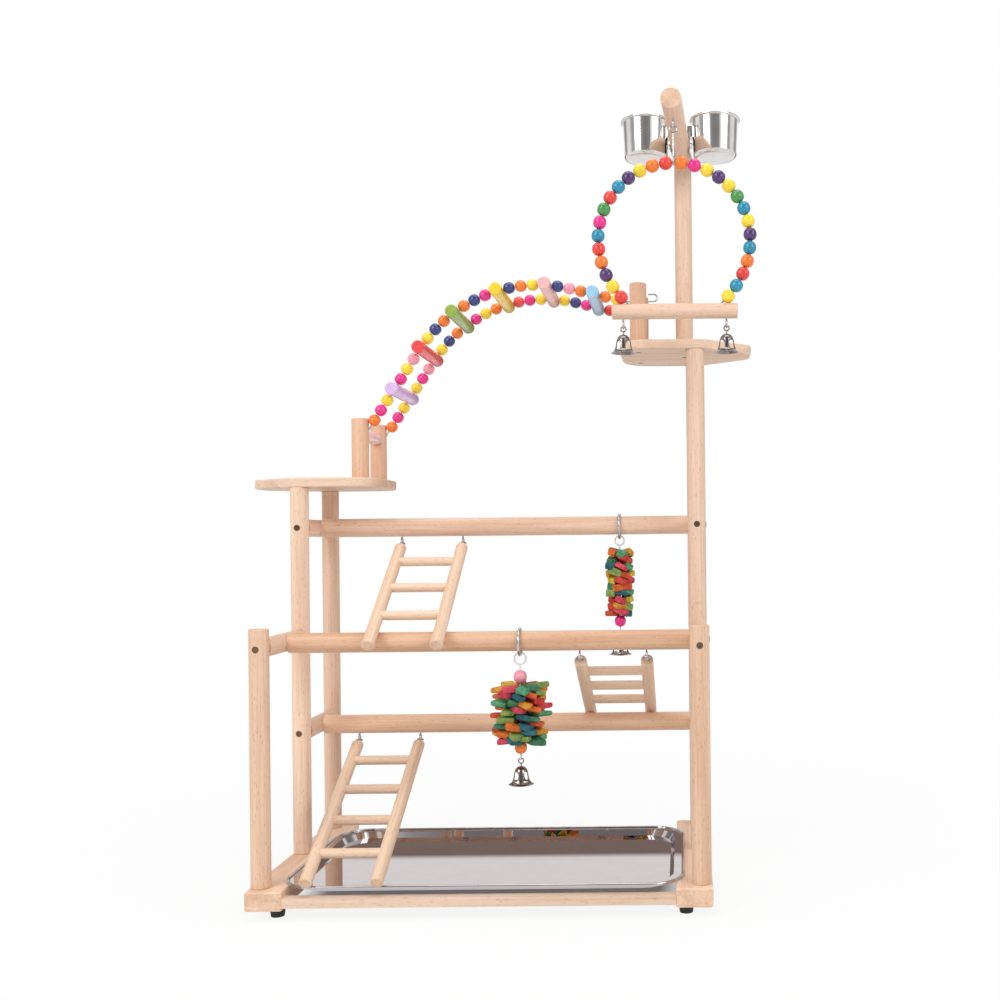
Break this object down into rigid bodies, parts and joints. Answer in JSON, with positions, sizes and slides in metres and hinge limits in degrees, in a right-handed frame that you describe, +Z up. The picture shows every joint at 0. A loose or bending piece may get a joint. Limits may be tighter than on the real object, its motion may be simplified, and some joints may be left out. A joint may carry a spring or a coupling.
{
  "type": "parrot play stand",
  "caption": "Wooden parrot play stand with stepped perches, bead bridge, bead swing, hanging ladders, chew toys, lift-out cups and a slide-out tray on rubber feet.",
  "frame": {"origin": "on the floor under the middle of the stand's outline", "axes": "+Z up, +X along the perch bars from the low board to the high board, +Y from the front to the back"},
  "size_m": [0.646, 0.304, 0.957],
  "materials": {
    "beech": "sanded, unvarnished beech",
    "ladder_wood": "sanded pale wood",
    "bead_paint": "gloss-dyed wooden beads and rungs in mixed colours",
    "chip_stain": "stained flat wood chips in mixed colours",
    "zinc_wire": "bright zinc-plated steel wire and screws",
    "nickel": "bright nickel-plated sheet",
    "stainless": "polished stainless sheet",
    "rubber": "black moulded rubber"
  },
  "bodies": {
    "frame": {"base_beam_left": "beech", "base_beam_right": "beech", "base_rail_front": "beech", "base_rail_rear": "beech", "front_post_left": "beech", "front_post_right": "beech", "middle_post_left": "beech", "middle_post_right": "beech", "rear_post_left": "beech", "rear_post_right": "beech", "side_rails_left": "beech", "side_rails_right": "beech", "lower_perch_bar": "beech", "middle_perch_bar": "beech", "upper_perch_bar": "beech", "platform_left": "beech", "platform_right": "beech", "bridge_stubs_left": "beech", "bridge_stubs_right": "beech", "mast": "beech", "top_perch": "beech", "rubber_feet": "rubber", "wood_screws": "zinc_wire", "bridge_wires": "zinc_wire", "bridge_beads": "bead_paint", "bridge_rungs": "bead_paint", "screw_eyes": "zinc_wire", "cup_brackets": "stainless", "cup_bolt": "stainless"},
    "tray": {"tray": "stainless"},
    "cup_left": {"cup_left": "stainless"},
    "cup_right": {"cup_right": "stainless"},
    "swing": {"swing_hanger": "zinc_wire", "swing_wire": "zinc_wire", "swing_beads": "bead_paint", "swing_perch": "beech", "swing_bell_eyes": "zinc_wire"},
    "big_toy": {"big_toy_hanger": "zinc_wire", "big_toy_beads": "bead_paint", "big_toy_chips": "chip_stain"},
    "small_toy": {"small_toy_hanger": "zinc_wire", "small_toy_beads": "bead_paint", "small_toy_chips": "chip_stain"},
    "upper_ladder": {"upper_ladder_rails": "ladder_wood", "upper_ladder_rungs": "ladder_wood", "upper_ladder_hooks": "zinc_wire"},
    "lower_ladder": {"lower_ladder_rails": "ladder_wood", "lower_ladder_rungs": "ladder_wood", "lower_ladder_hooks": "zinc_wire"},
    "small_ladder": {"small_ladder_rails": "ladder_wood", "small_ladder_rungs": "ladder_wood", "small_ladder_hooks": "zinc_wire"},
    "swing_bell_left": {"swing_bell_left": "nickel"},
    "swing_bell_right": {"swing_bell_right": "nickel"},
    "big_toy_bell": {"big_toy_bell": "nickel"},
    "small_toy_bell": {"small_toy_bell": "nickel"},
    "swing_clapper_left": {"swing_clapper_left": "nickel"},
    "swing_clapper_right": {"swing_clapper_right": "nickel"},
    "big_toy_clapper": {"big_toy_clapper": "nickel"},
    "small_toy_clapper": {"small_toy_clapper": "nickel"}
  },
  "joints": [
    {"name": "tray_slide", "type": "slide", "parent": "frame", "child": "tray", "axis": [0, 1, 0], "range_m": [0, 0.27]},
    {"name": "upper_ladder_swing", "type": "hinge", "parent": "frame", "child": "upper_ladder", "pos_m": [-0.0965, 0.07, 0.4214], "axis": [1, 0, 0], "range_deg": [-40, 0]},
    {"name": "lower_ladder_swing", "type": "hinge", "parent": "frame", "child": "lower_ladder", "pos_m": [-0.155, 0.07, 0.1639], "axis": [1, 0, 0], "range_deg": [-40, 0]},
    {"name": "small_ladder_swing", "type": "hinge", "parent": "frame", "child": "small_ladder", "pos_m": [0.1475, -0.062, 0.2829], "axis": [1, 0, 0], "range_deg": [0, 12]},
    {"name": "swing_sway", "type": "hinge", "parent": "frame", "child": "swing", "pos_m": [0.22547, -0.09911, 0.9039], "axis": [1, 0, 0], "range_deg": [-40, 12]},
    {"name": "swing_bell_left_sway", "type": "hinge", "parent": "swing", "child": "swing_bell_left", "pos_m": [0.16547, -0.09911, 0.67073], "axis": [1, 0, 0], "range_deg": [-15, 15]},
    {"name": "swing_clapper_left_sway", "type": "hinge", "parent": "swing_bell_left", "child": "swing_clapper_left", "pos_m": [0.16547, -0.09911, 0.65943], "axis": [1, 0, 0], "range_deg": [-12, 12]},
    {"name": "swing_bell_right_sway", "type": "hinge", "parent": "swing", "child": "swing_bell_right", "pos_m": [0.28547, -0.09911, 0.67073], "axis": [1, 0, 0], "range_deg": [-15, 15]},
    {"name": "swing_clapper_right_sway", "type": "hinge", "parent": "swing_bell_right", "child": "swing_clapper_right", "pos_m": [0.28547, -0.09911, 0.65943], "axis": [1, 0, 0], "range_deg": [-12, 12]},
    {"name": "big_toy_sway", "type": "hinge", "parent": "frame", "child": "big_toy", "pos_m": [0.036, -0.062, 0.303], "axis": [1, 0, 0], "range_deg": [-20, 20]},
    {"name": "big_toy_bell_sway", "type": "hinge", "parent": "big_toy", "child": "big_toy_bell", "pos_m": [0.036, -0.062, 0.1627], "axis": [1, 0, 0], "range_deg": [-15, 15]},
    {"name": "big_toy_clapper_sway", "type": "hinge", "parent": "big_toy_bell", "child": "big_toy_clapper", "pos_m": [0.036, -0.062, 0.1514], "axis": [1, 0, 0], "range_deg": [-12, 12]},
    {"name": "small_toy_sway", "type": "hinge", "parent": "frame", "child": "small_toy", "pos_m": [0.149, 0.07, 0.4415], "axis": [1, 0, 0], "range_deg": [-20, 20]},
    {"name": "small_toy_bell_sway", "type": "hinge", "parent": "small_toy", "child": "small_toy_bell", "pos_m": [0.149, 0.07, 0.303], "axis": [1, 0, 0], "range_deg": [-15, 15]},
    {"name": "small_toy_clapper_sway", "type": "hinge", "parent": "small_toy_bell", "child": "small_toy_clapper", "pos_m": [0.149, 0.07, 0.2917], "axis": [1, 0, 0], "range_deg": [-12, 12]},
    {"name": "cup_left_lift", "type": "slide", "parent": "frame", "child": "cup_left", "axis": [0, 0, 1], "range_m": [0, 0.05]},
    {"name": "cup_right_lift", "type": "slide", "parent": "frame", "child": "cup_right", "axis": [0, 0, 1], "range_m": [0, 0.05]}
  ]
}
